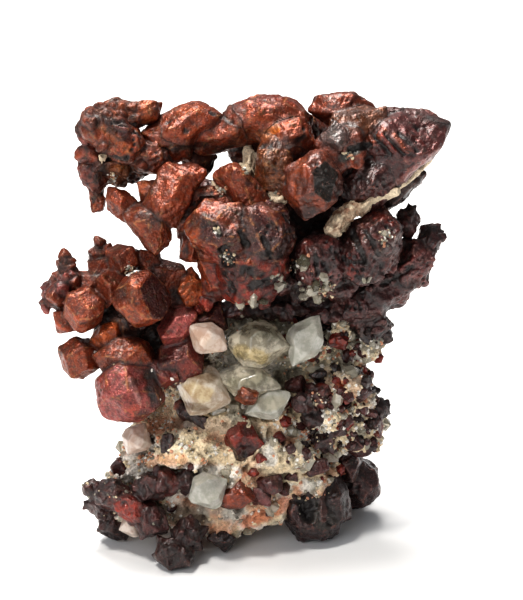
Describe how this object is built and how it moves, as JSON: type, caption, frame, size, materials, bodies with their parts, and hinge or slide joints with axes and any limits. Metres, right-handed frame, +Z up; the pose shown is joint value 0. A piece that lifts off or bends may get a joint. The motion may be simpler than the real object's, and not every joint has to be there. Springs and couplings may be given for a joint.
{
  "type": "native copper in quartz",
  "caption": "Mineral specimen for display: branches of blunt native copper crystals growing out of quartz and pale granular rock, standing on its own feet.",
  "frame": {"origin": "on the ground, under the middle of the specimen's box", "axes": "+Z up, +X to the right of the pictured front, -Y towards the viewer of that front"},
  "size_m": [0.0755, 0.0423, 0.0851],
  "materials": {
    "copper_orange": "native copper with a red-brown and orange tarnish",
    "copper_dark": "native copper with a dark purple-brown tarnish",
    "quartz": "milky to clear crystal, glossy faces",
    "calcite": "cream crust, dull",
    "rock": "pale pink and cream granular rock, rough"
  },
  "bodies": {
    "root": {"copper_crown_right": "copper_orange", "copper_crown_top": "copper_orange", "copper_crown_left": "copper_orange", "copper_heart": "copper_orange", "copper_fan": "copper_orange", "copper_left_cluster": "copper_orange", "copper_right_arm": "copper_dark", "copper_trunk": "copper_dark", "copper_right_edge": "copper_dark", "copper_foot_right": "copper_dark", "copper_foot_left": "copper_dark", "copper_base_left": "copper_dark", "copper_foot_back": "copper_dark", "calcite_film": "calcite", "quartz_milky": "quartz", "quartz_grey": "quartz", "quartz_clear": "quartz", "quartz_cream": "quartz", "quartz_middle": "quartz", "quartz_low": "quartz", "quartz_round": "quartz", "quartz_left": "quartz", "quartz_corner": "quartz", "quartz_back_tall": "quartz", "quartz_back_wide": "quartz", "quartz_back_low": "quartz", "rock_matrix": "rock"}
  },
  "joints": []
}
